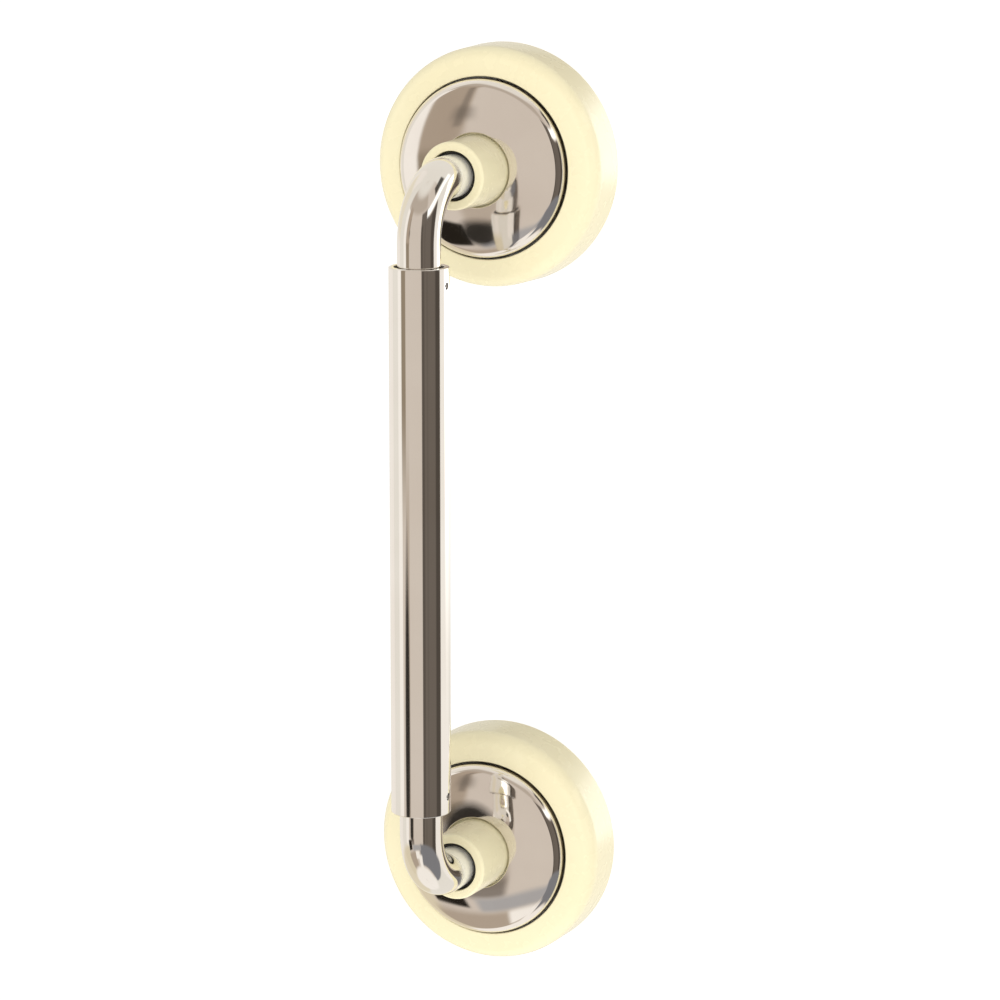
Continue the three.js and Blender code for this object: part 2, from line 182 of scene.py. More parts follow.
def new_piece(name, mesh_builder, sharp=38):
    """A piece from a bmesh, with outward faces and with smooth shading that breaks at sharp edges."""
    bmesh.ops.remove_doubles(mesh_builder, verts=mesh_builder.verts, dist=1e-7)
    bmesh.ops.recalc_face_normals(mesh_builder, faces=mesh_builder.faces)
    mesh = bpy.data.meshes.new(name)
    mesh_builder.to_mesh(mesh)
    mesh_builder.free()
    smooth(mesh, sharp)
    piece = bpy.data.objects.new(name, mesh)
    bpy.context.scene.collection.objects.link(piece)
    return piece


def smooth(mesh, sharp=38):
    mesh.shade_smooth()
    mesh.set_sharp_from_angle(angle=math.radians(sharp))


def sweep_rings(rings, closed_loop):
    """A bmesh through rings of points. A closed loop's last ring joins its first. An open one is capped."""
    builder = bmesh.new()
    made = [[builder.verts.new(point) for point in ring] for ring in rings]
    count = len(made[0])
    pairs = list(zip(made, made[1:]))
    if closed_loop:
        pairs.append((made[-1], made[0]))
    else:
        builder.faces.new(made[0])
        builder.faces.new(made[-1])
    for one, other in pairs:
        for i in range(count):
            j = (i + 1) % count
            builder.faces.new((one[i], one[j], other[j], other[i]))
    return builder


def turned(name, outline, place, segments=SMOOTH):
    """A closed outline in millimetres turned round an axis. place(radius, angle, height) makes each point."""
    rings = []
    for i in range(segments):
        angle = 2 * math.pi * i / segments
        rings.append([place(radius * MM, angle, height * MM) for radius, height in outline])
    return new_piece(name, sweep_rings(rings, closed_loop=True))


def on_pod(side):
    """Places points round a pod's axis, with heights measured out from the wall."""

    def place(radius, angle, height):
        return Vector((radius * math.sin(angle), -height, POD_Z[side] + radius * math.cos(angle)))

    return place


def on_grip(radius, angle, height):
    """Places points round the grip's axis, with heights measured up it."""
    return Vector((radius * math.sin(angle), -STANDOFF * MM - radius * math.cos(angle), height))


def cut_or_join(piece, tool, operation, sharp=38):
    """Applies one boolean to a piece and throws the tool away."""
    modifier = piece.modifiers.new("boolean", "BOOLEAN")
    modifier.operation = operation
    modifier.solver = "EXACT"
    modifier.object = tool
    evaluated = piece.evaluated_get(bpy.context.evaluated_depsgraph_get())
    mesh = bpy.data.meshes.new_from_object(evaluated)
    piece.modifiers.remove(modifier)
    piece.data = mesh
    mesh.name = piece.name
    bpy.data.objects.remove(tool)
    smooth(mesh, sharp)


# ---- The pieces of a pod ----------------------------------------------------------------------------


def dome_height(radius):
    return COVER_TOP - COVER_FALL * radius**3


def ramp_height(degrees):
    """A ramp's height, clockwise from its lug. Over the joint's range it falls by the slide's travel."""
    travel = joint("upper_press_slide")["range_m"][1] / MM
    turn = joint("upper_shell_turn")["range_deg"][1]
    return RAMP_TOP - travel * degrees / turn


def bent_block(side, inner, outer, low, high, start, end):
    """A block bent round a pod's axis between two angles. Its high face is a function of the angle."""
    place = on_pod(side)
    steps = max(1, round((end - start) / 3))
    rings = []
    for i in range(steps + 1):
        degrees = start + (end - start) * i / steps
        corners = ((inner, low), (outer, low), (outer, high(degrees)), (inner, high(degrees)))
        rings.append([place(r * MM, math.radians(degrees), h * MM) for r, h in corners])
    return new_piece("block", sweep_rings(rings, closed_loop=False))


def shell(side):
    """The turning shell: a soft shoulder, a crisp rim, a plain wall inside and a ramp for each lug."""
    radius = radius_of(f"{side}_shell")
    rim, front = heights_of(f"{side}_shell")
    inside = radius - SHELL_WALL - 0.6
    outline = rounded(
        [
            (radius, rim, 0.5),
            (radius - 0.6, SHELL_FACE_EDGE, SHELL_SHOULDER),
            (OPENING, front + 0.1, 0.45),
            (OPENING, front - 2.6, 0.3),
            (radius - SHELL_SHOULDER - 0.5, 21.8, 3),
            (inside, 17.6, 4),
            (inside, rim + SHELL_BEAD, 0.15),
            (inside - SHELL_BEAD, rim + SHELL_BEAD, 0.2),
            (inside - SHELL_BEAD, rim, 0.2),
        ],
        degrees_per_step=5,
    )
    piece = turned(f"{side}_shell_skin", outline, on_pod(side))
    for lug_angle in LUG_ANGLES:
        for start, end, extra in RAMP_RUNS:
            ramp = bent_block(
                side,
                RAMP_INNER,
                inside + 0.3,
                RAMP_LOW,
                lambda degrees: ramp_height(degrees - lug_angle) + extra,
                lug_angle + start,
                lug_angle + end,
            )
            cut_or_join(piece, ramp, "UNION")
    return piece


def face_cover(side):
    """The bright domed cover: almost flat round the collar, then rolling over at the rim into a skirt."""
    hole = COLLAR_BASE + COVER_GROOVE
    radius = radius_of(f"{side}_face_cover")
    skirt, _ = heights_of(f"{side}_face_cover")
    roll_centre = radius - COVER_ROLL
    roll_inside = COVER_ROLL - COVER_SKIN
    edge = roll_centre + COVER_ROLL * math.cos(math.radians(COVER_TILT))
    roll_height = dome_height(edge) - COVER_ROLL * math.sin(math.radians(COVER_TILT))
    dome = [hole + 0.4 + (edge - hole - 0.4) * i / 40 for i in range(40)]
    outline = rounded(
        [(hole, dome_height(hole) - 0.9, 0), (hole, dome_height(hole), 0.35)]
        + [(r, dome_height(r), 0) for r in dome]
        + arc(roll_centre, roll_height, COVER_ROLL, COVER_TILT, 0, 28)
        + [(radius, skirt, 0.2), (roll_centre + roll_inside, skirt, 0.2)]
        + arc(roll_centre, roll_height, roll_inside, 0, COVER_TILT, 12)
        + [(r, dome_height(r) - COVER_SKIN, 0) for r in reversed(dome)]
    )
    return turned(f"{side}_face_cover_skin", outline, on_pod(side), segments=256)


def collar(side):
    """The neck: slightly tapered, with a soft front edge, a crisp bore and a hidden foot."""
    foot, top = heights_of(f"{side}_collar")
    base = COLLAR_BASE
    outline = rounded(
        [
            (TUBE_RADIUS + CLEARANCE, foot, 0),
            (COLLAR_FOOT, foot, 0),
            (COLLAR_FOOT, COLLAR_FOOT_TOP, 0.2),
            (base, COLLAR_FOOT_TOP, 0.2),
            (base, dome_height(base), 0),
            (base - 0.6, top, 1.3),
            (COLLAR_BORE, top, 0.45),
            (COLLAR_BORE, COLLAR_STEP, 0),
            (TUBE_RADIUS + CLEARANCE, COLLAR_STEP, 0),
        ]
    )
    return turned(f"{side}_collar_skin", outline, on_pod(side), segments=128)


def collar_seal(side):
    """The black seal: a ring with a soft lip that leans on the tube."""
    low, high = heights_of(f"{side}_collar_seal")
    outer = COLLAR_BORE - CLEARANCE
    inner = TUBE_RADIUS + CLEARANCE
    outline = rounded(
        [
            (inner - 0.2, low, 0),
            (outer, low, 0),
            (outer, high - 0.5, 0.3),
            (outer - 0.4, high, 0.2),
            (inner - 0.2, high, 0.4),
        ]
    )
    return turned(f"{side}_collar_seal_ring", outline, on_pod(side), segments=128)


def lip_groove(middle):
    """One fine groove in the pad's sealing lip, as outline points."""
    return [
        (middle - 0.5, 0, 0.15),
        (middle - 0.25, LIP_RING_DEPTH, 0.1),
        (middle + 0.25, LIP_RING_DEPTH, 0.1),
        (middle + 0.5, 0, 0.15),
    ]


def suction_pad(side):
    """The soft pad: a grooved sealing lip, a dished middle and a boss over the stud's flange."""
    radius = radius_of(f"{side}_suction_pad")
    _, boss = heights_of(f"{side}_suction_pad")
    flange_low, flange_high = FLANGE_HEIGHTS
    lip_rings = []
    for i in range(3):
        lip_rings += lip_groove(LIP_RING_FIRST + LIP_RING_STEP * i)
    outline = rounded(
        [
            (0, PAD_FLOOR, 0),
            (13, 2.3, 30),
            (28, 1.3, 60),
            (40, 0, 6),
            *lip_rings,
            (radius, 0, 0.25),
            (radius, PAD_RIM, 0.3),
            (radius - 3.4, 1.1, 0.4),
            (radius - 3.8, PAD_UNDER_RING, 0.3),
            (39, PAD_UNDER_RING, 2),
            (PAD_BOSS, 5.2, 1.5),
            (PAD_BOSS, boss, 0.4),
            (STUD_HOLE, boss, 0.2),
            (STUD_HOLE, flange_high, 0),
            (FLANGE_RADIUS, flange_high, 0.2),
            (FLANGE_RADIUS, flange_low, 0.2),
            (0, flange_low, 0),
        ],
        degrees_per_step=6,
    )
    return turned(f"{side}_suction_pad_soft", outline, on_pod(side))


# ---- The pieces of the bar --------------------------------------------------------------------------


def elbow_stations(side):
    """(point, direction) along a bent tube's centre line, from inside the collar to inside the grip."""
    low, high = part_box(f"{side}_elbow_tube")
    up = 1 if side == "upper" else -1
    pod_z = POD_Z[side]
    start_y = high.y
    hidden_z = low.z if up > 0 else high.z
    bend_y = -(STANDOFF - BEND_RADIUS) * MM
    bend = BEND_RADIUS * MM
    yield Vector((0, start_y, pod_z)), Vector((0, -1, 0))
    steps = 40
    for i in range(steps + 1):
        angle = math.pi / 2 * i / steps
        point = Vector((0, bend_y - bend * math.sin(angle), pod_z - up * bend * (1 - math.cos(angle))))
        yield point, Vector((0, -math.cos(angle), -up * math.sin(angle)))
    yield Vector((0, -STANDOFF * MM, hidden_z)), Vector((0, 0, -up))


def circle(middle, along, over, radius, segments):
    """Points round a circle in millimetres of radius, across two directions."""
    points = []
    for i in range(segments):
        turn = 2 * math.pi * i / segments
        points.append(middle + (along * math.cos(turn) + over * math.sin(turn)) * radius * MM)
    return points


def elbow_tube(side):
    """A bent tube with a real wall, swept along its centre line."""
    outer_rings, inner_rings = [], []
    across = Vector((1, 0, 0))
    for point, direction in elbow_stations(side):
        over = direction.cross(across)
        outer_rings.append(circle(point, across, over, TUBE_RADIUS, TUBE_SEGMENTS))
        inner_rings.append(circle(point, across, over, TUBE_RADIUS - TUBE_WALL, TUBE_SEGMENTS))
    rings = outer_rings + inner_rings[::-1]
    return new_piece(f"{side}_elbow_tube_skin", sweep_rings(rings, closed_loop=True))


def grub_height(side):
    return centre(f"{side}_grub_screw").z


def rod_along_x(name, radius, start_x, end_x, z, segments=48):
    """A closed cylinder along X through the grip's axis, at a height."""
    rings = []
    for x in (start_x, end_x):
        middle = Vector((x * MM, -STANDOFF * MM, z))
        rings.append(circle(middle, Vector((0, 1, 0)), Vector((0, 0, 1)), radius, segments))
    return new_piece(name, sweep_rings(rings, closed_loop=False))


def grip_sleeve():
    """The grip: a plain tube whose ends roll in, with a grub screw hole at each end."""
    radius = radius_of("grip_sleeve")
    inner = radius - GRIP_WALL
    mouth = radius - GRIP_LIP
    low, high = (corner[2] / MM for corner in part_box("grip_sleeve"))
    outline = rounded(
        [
            (radius, low, 0.4),
            (mouth, low, 0.3),
            (mouth, low + 0.8, 0.2),
            (inner, low + 1.0, 0.3),
            (inner, high - 1.0, 0.3),
            (mouth, high - 0.8, 0.2),
            (mouth, high, 0.3),
            (radius, high, 0.4),
        ],
        degrees_per_step=7,
    )
    piece = turned("grip_sleeve_skin", outline, on_grip, segments=128)
    for side in SIDES:
        hole = GRUB_RADIUS + CLEARANCE
        drill = rod_along_x("drill", hole, TUBE_RADIUS + 1, radius + 2, grub_height(side))
        cut_or_join(piece, drill, "DIFFERENCE", sharp=30)
    return piece


def grub_screw(side):
    """The little set screw with its hexagonal socket."""
    low, high = (corner.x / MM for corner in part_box(f"{side}_grub_screw"))
    z = grub_height(side)
    piece = rod_along_x(f"{side}_grub_screw_fine", GRUB_RADIUS, low, high, z)
    socket = rod_along_x("socket", GRUB_SOCKET, high - GRUB_SOCKET_DEPTH, high + 1, z, segments=6)
    cut_or_join(piece, socket, "DIFFERENCE", sharp=30)
    return piece


# ---- Materials --------------------------------------------------------------------------------------


class Surface:
    """A Principled material under construction, with short ways to add and wire nodes."""

    def __init__(self, name, colour, roughness, metallic=0.0, **constants):
        self.material = bpy.data.materials.new(name)
        self.material.use_nodes = True
        self.tree = self.material.node_tree
        self.shader = self.tree.nodes["Principled BSDF"]
        self.colour = colour
        self.roughness = roughness
        self.set("Base Color", (*colour, 1))
        self.set("Roughness", roughness)
        self.set("Metallic", metallic)
        for socket, value in constants.items():
            self.set(socket.replace("_", " "), value)
        self.place = self.node("ShaderNodeTexCoord").outputs["Object"]

    def set(self, socket, value):
        self.shader.inputs[socket].default_value = value

    def node(self, kind, **inputs):
        """A new node; each keyword sets one of its inputs, or wires an output into it."""
        made = self.tree.nodes.new(kind)
        for name, value in inputs.items():
            socket = made.inputs[name.replace("_", " ")]
            if isinstance(value, bpy.types.NodeSocket):
                self.tree.links.new(value, socket)
            else:
                socket.default_value = value
        return made

    def wire(self, output, socket):
        self.tree.links.new(output, self.shader.inputs[socket])

    def noise(self, scale, detail=2.0, stretch=(1, 1, 1), distortion=0.0):
        """Noise in the object's own space, with scale features a metre. Stretch squeezes it along an axis."""
        placed = self.node("ShaderNodeMapping", Vector=self.place, Scale=stretch).outputs["Vector"]
        made = self.node(
            "ShaderNodeTexNoise", Vector=placed, Scale=scale, Detail=detail, Distortion=distortion
        )
        return made.outputs["Fac"]

    def spread(self, source, low, high, at=(0.3, 0.7)):
        """Maps a 0 to 1 pattern to a range of values."""
        made = self.node(
            "ShaderNodeMapRange", Value=source, From_Min=at[0], From_Max=at[1], To_Min=low, To_Max=high
        )
        return made.outputs["Result"]

    def vary_colour(self, pattern, other, at=(0.3, 0.7)):
        mix = self.node("ShaderNodeMix")
        mix.data_type = "RGBA"
        self.tree.links.new(self.spread(pattern, 0, 1, at), mix.inputs["Factor"])
        mix.inputs[6].default_value = (*self.colour, 1)
        mix.inputs[7].default_value = (*other, 1)
        self.wire(mix.outputs[2], "Base Color")

    def blend(self, socket, mask, value):
        """Blends whatever a shader input has now towards a value, by a 0 to 1 mask."""
        target = self.shader.inputs[socket]
        coloured = target.type == "RGBA"
        mix = self.node("ShaderNodeMix")
        mix.data_type = "RGBA" if coloured else "FLOAT"
        before, after = (mix.inputs[6], mix.inputs[7]) if coloured else (mix.inputs[2], mix.inputs[3])
        self.tree.links.new(mask, mix.inputs["Factor"])
        if target.is_linked:
            self.tree.links.new(target.links[0].from_socket, before)
        else:
            before.default_value = target.default_value
        after.default_value = (*value, 1) if coloured else value
        self.wire(mix.outputs[2] if coloured else mix.outputs[0], socket)

    def vary_roughness(self, pattern, low, high, at=(0.3, 0.7)):
        self.wire(self.spread(pattern, low, high, at), "Roughness")

    def bump(self, patterns):
        """Stacks bumps from (pattern, depth in metres) pairs."""
        normal = None
        for pattern, depth in patterns:
            made = self.node("ShaderNodeBump", Height=pattern, Distance=depth, Strength=1.0)
            if normal:
                self.tree.links.new(normal, made.inputs["Normal"])
            normal = made.outputs["Normal"]
        self.wire(normal, "Normal")


PAINTED_HIGHLIGHT_Y = (-0.0705, -0.0655)  # the painted highlight near the collars fades in between these two places along Y
PAINTED_HIGHLIGHT_RAGGED = 0.002  # how far noise moves its edge


def tube_chrome():
    """Polished plate on drawn tube: faint draw lines, handling haze and a painted highlight near the collars,
    where the tube is made paler, rougher and less metallic in place of a bright reflection.
    """
    surface = Surface("tube_chrome", (0.88, 0.86, 0.83), 0.04, metallic=1.0)
    haze = surface.noise(28, detail=5)
    lines = surface.noise(1500, detail=2, stretch=(1, 1, 0.03))
    split = surface.node("ShaderNodeSeparateXYZ", Vector=surface.place)
    depth = surface.node("ShaderNodeMath", Value=surface.noise(250, detail=3))
    depth.operation = "MULTIPLY_ADD"
    depth.inputs[1].default_value = PAINTED_HIGHLIGHT_RAGGED
    surface.tree.links.new(split.outputs["Y"], depth.inputs[2])
    # painted highlight: near the collars the tube is blended towards near-white, rougher and less metallic, in
    # place of a bright reflection
    dust_bloom_and_painted_highlight = surface.spread(depth.outputs[0], 0, 1, at=PAINTED_HIGHLIGHT_Y)
    surface.vary_colour(haze, (0.84, 0.81, 0.77))
    surface.blend("Base Color", dust_bloom_and_painted_highlight, (0.97, 0.97, 0.96))
    surface.vary_roughness(haze, 0.025, 0.07)
    surface.blend("Roughness", dust_bloom_and_painted_highlight, 0.3)
    surface.blend("Metallic", dust_bloom_and_painted_highlight, 0.6)
    surface.bump([(lines, 0.0000005), (surface.noise(60, detail=1, stretch=(1, 1, 0.4)), 0.000008)])
    return surface.material


def cover_chrome():
    """Bright plate on a moulded dome: the long, shallow ripple of the moulding and a fine haze."""
    surface = Surface("cover_chrome", (0.87, 0.84, 0.80), 0.04, metallic=1.0)
    haze = surface.noise(40, detail=6)
    surface.vary_colour(haze, (0.83, 0.79, 0.75))
    surface.vary_roughness(haze, 0.03, 0.09)
    surface.bump([(surface.noise(55, detail=0), 0.00002), (surface.noise(2500, detail=2), 0.0000015)])
    return surface.material


def ivory_plastic():
    """Glossy cream moulding: very slight mottling, a fine orange-peel skin and a clear gloss."""
    surface = Surface(
        "ivory_plastic",
        (0.95, 0.88, 0.605),
        0.25,
        Coat_Weight=0.35,
        Coat_Roughness=0.1,
    )
    surface.vary_colour(surface.noise(30, detail=2), (0.945, 0.868, 0.585))
    surface.vary_roughness(surface.noise(120, detail=3), 0.25, 0.29)
    surface.bump([(surface.noise(900, detail=2), 0.0000006), (surface.noise(60, detail=1), 0.000003)])
    return surface.material


def clear_rubber():
    """Soft milky PVC: cloudy, slightly waxy and faintly rippled by its mould."""
    surface = Surface(
        "clear_rubber",
        (0.70, 0.73, 0.70),
        0.35,
        Subsurface_Weight=0.5,
        Subsurface_Radius=(0.006, 0.006, 0.005),
    )
    cloud = surface.noise(60, detail=4, distortion=0.6)
    surface.vary_colour(cloud, (0.66, 0.695, 0.67))
    surface.vary_roughness(cloud, 0.28, 0.45)
    surface.bump([(surface.noise(400, detail=3), 0.00002)])
    return surface.material


def black_rubber():
    """Black moulded rubber with a dusty bloom."""
    surface = Surface("black_rubber", (0.012, 0.012, 0.012), 0.55)
    dust_bloom_and_painted_highlight = surface.noise(300, detail=6)
    surface.vary_colour(dust_bloom_and_painted_highlight, (0.03, 0.03, 0.028), at=(0.5, 0.8))
    surface.vary_roughness(dust_bloom_and_painted_highlight, 0.45, 0.7)
    surface.bump([(surface.noise(2200, detail=4), 0.00001)])
    return surface.material


def moulded(name, colour, other):
    """A plain engineering plastic with the fine texture of its mould."""
    surface = Surface(name, colour, 0.5, Subsurface_Weight=0.05, Subsurface_Radius=(0.002, 0.002, 0.002))
    patch = surface.noise(80, detail=4)
    surface.vary_colour(patch, other)
    surface.vary_roughness(patch, 0.42, 0.6)
    surface.bump([(surface.noise(1800, detail=4), 0.000015)])
    return surface.material


def plated_steel():
    """Zinc plate: pale grey-blue crystals over turned steel."""
    surface = Surface("plated_steel", (0.62, 0.63, 0.65), 0.32, metallic=1.0)
    cells = surface.node("ShaderNodeTexVoronoi", Vector=surface.place, Scale=900.0)
    surface.vary_colour(cells.outputs["Distance"], (0.72, 0.71, 0.68), at=(0, 0.8))
    surface.vary_roughness(surface.noise(500, detail=5), 0.25, 0.45)
    surface.bump([(surface.noise(3000, detail=2, stretch=(1, 0.1, 1)), 0.00001)])
    return surface.material


MATERIALS = {
    "chrome_tube": tube_chrome(),
    "chrome_cover": cover_chrome(),
    "ivory_plastic": ivory_plastic(),
    "clear_rubber": clear_rubber(),
    "black_rubber": black_rubber(),
    "white_acetal": moulded("white_acetal", (0.85, 0.84, 0.80), (0.80, 0.78, 0.73)),
    "grey_nylon": moulded("grey_nylon", (0.05, 0.05, 0.05), (0.07, 0.07, 0.068)),
    "plated_steel": plated_steel(),
}

# ---- The object -------------------------------------------------------------------------------------

SLOT_OF = {row["node"]: row["material_slot"] for row in frame["record"]["subparts"]}

# each pod piece's function, and the body that it rides on
POD_PIECES = {
    "shell": (shell, "{side}_twist"),
    "face_cover": (face_cover, "bar"),
    "collar": (collar, "bar"),
    "collar_seal": (collar_seal, "bar"),
    "suction_pad": (suction_pad, "bar"),
    "elbow_tube": (elbow_tube, "bar"),
    "grub_screw": (grub_screw, "bar"),
}


def add_piece(piece, node, body):
    """Gives a piece its material and body, and lets it stand for its CAD node."""
    slot = SLOT_OF[node]
    piece.data.materials.clear()
    piece.data.materials.append(MATERIALS[slot])
    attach(piece, body)
    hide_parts(node)


def build_object():
    """Makes every fine piece, and gives each CAD node the material of its slot."""
    add_piece(grip_sleeve(), "grip_sleeve", "bar")
    for side in SIDES:
        for name, (make, body) in POD_PIECES.items():
            add_piece(make(side), f"{side}_{name}", body.format(side=side))
    for node, cad_object in frame["nodes"].items():
        cad_object.data.materials.clear()
        cad_object.data.materials.append(MATERIALS[SLOT_OF[node]])


# ---- The studio -------------------------------------------------------------------------------------


class Panorama:
    """The surroundings that bright metal mirrors: a base colour with soft-edged panels over it."""

    def __init__(self, tree, base):
        self.tree = tree
        direction = tree.nodes.new("ShaderNodeTexCoord").outputs["Generated"]
        split = tree.nodes.new("ShaderNodeSeparateXYZ")
        tree.links.new(direction, split.inputs[0])
        self.x, self.y, self.z = split.outputs
        self.flat = self.math("SQRT", self.math("ADD", self.square(self.x), self.square(self.y)))
        self.elevation = self.math("DEGREES", self.math("ARCSINE", self.z))
        self.colour = base

    def math(self, operation, *values):
        node = self.tree.nodes.new("ShaderNodeMath")
        node.operation = operation
        for socket, value in zip(node.inputs, values):
            if isinstance(value, bpy.types.NodeSocket):
                self.tree.links.new(value, socket)
            else:
                socket.default_value = value
        return node.outputs[0]

    def square(self, value):
        return self.math("MULTIPLY", value, value)

    def ramp(self, value, zero_at, one_at):
        """0 to 1 between two values, with a smooth start and end."""
        node = self.tree.nodes.new("ShaderNodeMapRange")
        node.interpolation_type = "SMOOTHSTEP"
        self.tree.links.new(value, node.inputs["Value"])
        node.inputs["From Min"].default_value = zero_at
        node.inputs["From Max"].default_value = one_at
        return node.outputs["Result"]

    def panel(self, azimuths, elevations, colour, soft=3.0, strength=1.0):
        """Lays a panel over what is there. Azimuth 0 is straight out from the wall and 90 is +X."""
        middle = math.radians(sum(azimuths) / 2)
        half = abs(azimuths[1] - azimuths[0]) / 2
        ahead = self.math("MULTIPLY", self.y, -math.cos(middle))
        aside = self.math("MULTIPLY", self.x, math.sin(middle))
        cosine = self.math("DIVIDE", self.math("ADD", ahead, aside), self.flat)
        offset = self.math("DEGREES", self.math("ARCCOSINE", cosine))
        inside = self.ramp(offset, half + soft / 2, half - soft / 2)
        above = self.ramp(self.elevation, elevations[0] - soft / 2, elevations[0] + soft / 2)
        below = self.ramp(self.elevation, elevations[1] + soft / 2, elevations[1] - soft / 2)
        mask = self.math("MULTIPLY", self.math("MULTIPLY", inside, above), below)
        mix = self.tree.nodes.new("ShaderNodeMix")
        mix.data_type = "RGBA"
        self.tree.links.new(self.math("MULTIPLY", mask, strength), mix.inputs["Factor"])
        if isinstance(self.colour, bpy.types.NodeSocket):
            self.tree.links.new(self.colour, mix.inputs[6])
        else:
            mix.inputs[6].default_value = (*self.colour, 1)
        mix.inputs[7].default_value = (*colour, 1)
        self.colour = mix.outputs[2]


# Colours of the surroundings, from the room's own beige to the darkest panels
BEIGE = (0.70, 0.62, 0.545)
HIGH_BEIGE = (0.49, 0.415, 0.345)
PALE = (0.88, 0.84, 0.77)
WHITE = (1.03, 0.98, 0.92)
BRIGHT = (1.4, 1.4, 1.36)
GLARE = (2.6, 2.6, 2.55)
CREAM = (0.89, 0.82, 0.67)
LOW_CREAM = (0.80, 0.71, 0.51)
UMBER = (0.46, 0.375, 0.295)
BROWN = (0.32, 0.26, 0.19)
DARK = (0.165, 0.138, 0.116)
DEEP = (0.02, 0.016, 0.012)
COOL_GREY = (0.23, 0.23, 0.245)
MIST = (0.45, 0.435, 0.435)

# (azimuths, elevations, colour, softness of the edges, strength) of each panel, in degrees. Each is laid over
# the ones before it.
PANELS = (
    ((108, 228), (-90, 90), PALE, 6, 1),
    ((108, 160), (-30, 7), WHITE, 5, 0.8),
    ((136, 182), (-10, 18), GLARE, 10, 1),
    ((164, 205), (21, 32), BROWN, 4, 0.7),
    ((-132, -90), (-90, 90), WHITE, 8, 0.8),
    ((-125, -85), (-2, 38), CREAM, 10, 1),
    ((-91, -60), (-30, 90), PALE, 8, 1),
    ((-63, -45), (-30, 35), WHITE, 3, 1),
    ((-150, -50), (-66, -27), LOW_CREAM, 8, 0.8),
    ((-47, -27), (-4, 42), UMBER, 3, 1),
    ((-31, -28), (4, 29), DARK, 2, 0.55),
    ((-33, -25), (7, 14), DARK, 5, 0.5),
    ((-47, -29), (-10, -2), BROWN, 4, 1),
    ((-29, -16), (-24, -10), UMBER, 4, 0.7),
    ((-60, 60), (38, 62), HIGH_BEIGE, 10, 0.8),
    ((-49, -31), (-35, -22), DEEP, 2, 1),
    ((-54, -12), (-62, -38), UMBER, 6, 0.9),
    ((34, 72), (-30, 36), DARK, 4, 1),
    ((60, 109), (-31, 23), DARK, 4, 1),
    ((34, 44), (-30, 20), DEEP, 5, 0.35),
    ((52, 58), (-30, 20), DEEP, 5, 0.12),
    ((88, 107), (-30, 20), DEEP, 8, 0.55),
    ((62, 140), (25, 35), BRIGHT, 5, 1),
    ((95, 128), (38, 52), DEEP, 5, 0.9),
    ((-180, 180), (64, 90), PALE, 20, 1),
    ((15, 125), (-60, -28), COOL_GREY, 5, 1),
    ((-30, -16), (-29, -21), DARK, 4, 0.8),
    ((-27, 20), (-37, -29), MIST, 4, 1),
    ((-14, 8), (-50, -38), WHITE, 4, 1),
    ((2, 24), (-66, -44), WHITE, 6, 1),
    ((-180, 180), (-90, -63), WHITE, 8, 1),
)

# (name, azimuth, elevation, energy, width of the disc in degrees)
LIGHTS = (("key", 10, 8, 1.25, 50), ("side", 82, -4, 0.8, 40))
LIGHT_COLOUR = (1, 0.975, 0.93)
FILL_COLOUR = (1, 0.985, 0.955, 1)
FILL_STRENGTH = 0.6
FLOOR_GLOW = 0.46
FLOOR_SIZE = 20
FLOOR_DROP = 0.25  # below the bar

CARD_AZIMUTH = 25
CARD_CENTRE = (-0.334, -0.75, -0.3)
CARD_SIZE = (0.30, 0.36)
CARD_FADE = 0.45  # share of the way in from its edge over which the card fades in

CAMERA_AZIMUTH = 23.69
CAMERA_ELEVATION = 11.26
CAMERA_DISTANCE = 1.6899
CAMERA_AIM = Vector((-0.0031, -0.0011, 0.0013))
CAMERA_LENS = 140.0


def backdrop(tree, colour, strength):
    """A background shader of a plain colour, or of the colour that a node puts out."""
    node = tree.nodes.new("ShaderNodeBackground")
    node.inputs["Strength"].default_value = strength
    if isinstance(colour, bpy.types.NodeSocket):
        tree.links.new(colour, node.inputs["Color"])
    else:
        node.inputs["Color"].default_value = colour
    return node.outputs[0]


def choose(tree, switch, off, on):
    """One of two shaders, by a switch that is 0 or 1."""
    node = tree.nodes.new("ShaderNodeMixShader")
    for source, socket in zip((switch, off, on), node.inputs):
        tree.links.new(source, socket)
    return node.outputs[0]


def studio_world():
    """A warm room that glossy rays see, a soft light for other rays and plain white for the camera."""
    world = bpy.data.worlds.new("studio")
    bpy.context.scene.world = world
    world.use_nodes = True
    tree = world.node_tree
    tree.nodes.clear()
    room = Panorama(tree, BEIGE)
    for azimuths, elevations, colour, soft, strength in PANELS:
        room.panel(azimuths, elevations, colour, soft, strength)
    rays = tree.nodes.new("ShaderNodeLightPath")
    fill = backdrop(tree, FILL_COLOUR, FILL_STRENGTH)
    reflected = backdrop(tree, room.colour, 1)
    seen = backdrop(tree, (1, 1, 1, 1), 1)
    lit = choose(tree, rays.outputs["Is Glossy Ray"], fill, reflected)
    output = tree.nodes.new("ShaderNodeOutputWorld")
    tree.links.new(choose(tree, rays.outputs["Is Camera Ray"], lit, seen), output.inputs["Surface"])


def flat_sheet(name, half_size):
    """A square sheet of one face, linked into the scene."""
    builder = bmesh.new()
    bmesh.ops.create_grid(builder, x_segments=1, y_segments=1, size=half_size)
    mesh = bpy.data.meshes.new(name)
    builder.to_mesh(mesh)
    builder.free()
    sheet = bpy.data.objects.new(name, mesh)
    bpy.context.scene.collection.objects.link(sheet)
    return sheet


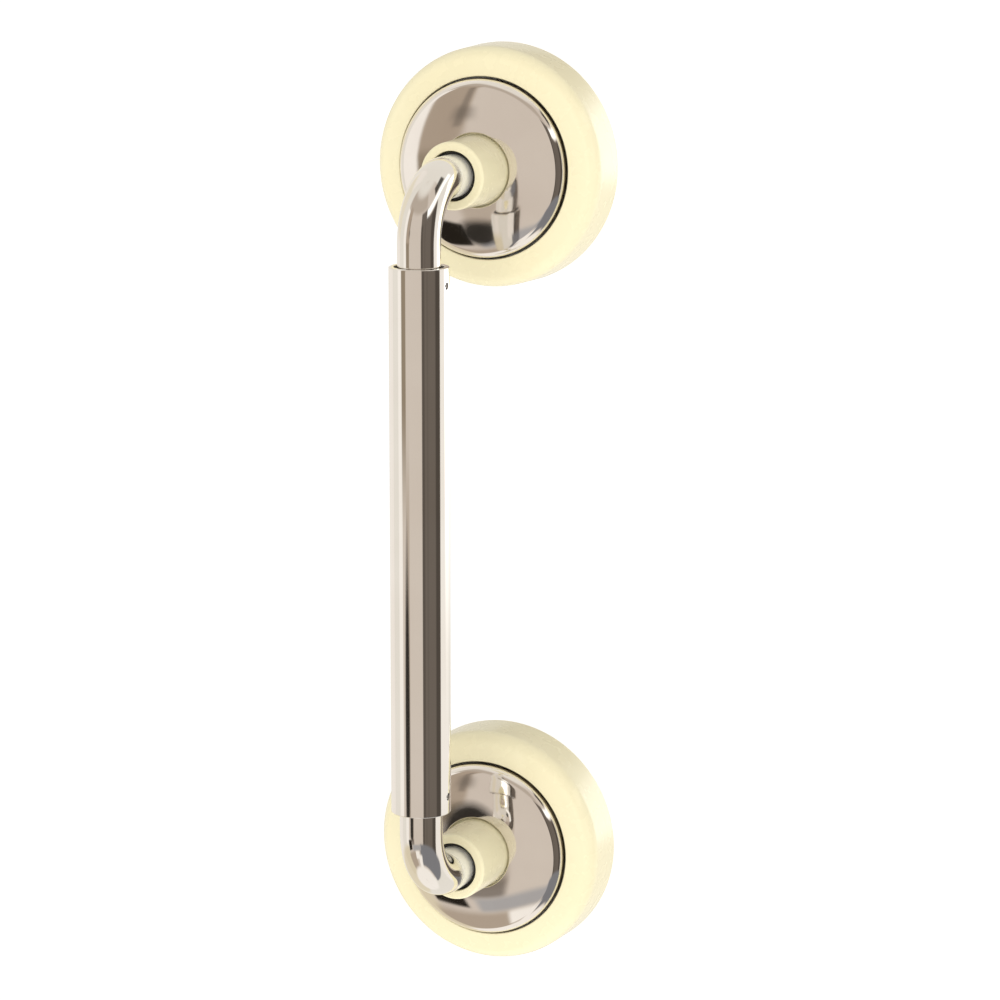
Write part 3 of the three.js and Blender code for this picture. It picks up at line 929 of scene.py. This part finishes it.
def dark_card():
    """A black card with faded edges, low in front and to the left, that only reflections show."""
    card = flat_sheet("dark_card", 0.5)
    card.location = CARD_CENTRE
    card.scale = (*CARD_SIZE, 1)
    card.rotation_euler = (math.pi / 2, 0, math.radians(-CARD_AZIMUTH))
    surface = Surface("black_card", (0.02, 0.016, 0.012), 0.9)
    surface.vary_colour(surface.noise(12, detail=3), (0.03, 0.025, 0.02))
    placed = surface.node("ShaderNodeMapping", Vector=surface.place, Scale=(2, 2, 2))
    disc = surface.node("ShaderNodeTexGradient", Vector=placed.outputs["Vector"])
    disc.gradient_type = "SPHERICAL"
    surface.wire(surface.spread(disc.outputs["Fac"], 0, 1, at=(0, CARD_FADE)), "Alpha")
    card.data.materials.append(surface.material)
    card.visible_camera = False
    card.visible_diffuse = False
    card.visible_shadow = False


def way_to(azimuth, elevation):
    """The way to a place in front of the wall, where azimuth 0 is straight out and 90 is +X."""
    turn = math.radians(azimuth)
    rise = math.radians(elevation)
    return Vector((math.sin(turn) * math.cos(rise), -math.cos(turn) * math.cos(rise), math.sin(rise)))


def soft_light(name, azimuth, elevation, energy, spread):
    """A sun with a wide disc, for soft shadows. The chrome doesn't mirror it, so that no disc shows there."""
    data = bpy.data.lights.new(name, "SUN")
    data.energy = energy
    data.angle = math.radians(spread)
    data.color = LIGHT_COLOUR
    light = bpy.data.objects.new(name, data)
    bpy.context.scene.collection.objects.link(light)
    light.rotation_euler = way_to(azimuth, elevation).to_track_quat("Z", "Y").to_euler()
    light.visible_glossy = False


def floor():
    """A plain white floor well below the bar, lit from within so that it stays white."""
    plane = flat_sheet("floor", FLOOR_SIZE)
    plane.location.z = cad_box[0][2] - FLOOR_DROP
    surface = Surface("pale_floor", (0.93, 0.925, 0.915), 0.9)
    surface.vary_colour(surface.noise(6, detail=4), (0.92, 0.915, 0.905))
    surface.set("Emission Color", (1, 1, 1, 1))
    surface.set("Emission Strength", FLOOR_GLOW)
    plane.data.materials.append(surface.material)
    plane.visible_glossy = False


def camera():
    """A long lens, to the right of the bar and a little above it."""
    back = way_to(CAMERA_AZIMUTH, CAMERA_ELEVATION)
    data = bpy.data.cameras.new("camera")
    data.lens = CAMERA_LENS
    data.sensor_width = 36
    made = bpy.data.objects.new("camera", data)
    made.location = CAMERA_AIM + back * CAMERA_DISTANCE
    made.rotation_euler = back.to_track_quat("Z", "Y").to_euler()
    bpy.context.scene.collection.objects.link(made)
    bpy.context.scene.camera = made


camera()
studio_world()
for light_row in LIGHTS:
    soft_light(*light_row)
dark_card()
floor()
build_object()
bpy.context.scene.view_settings.view_transform = "Standard"
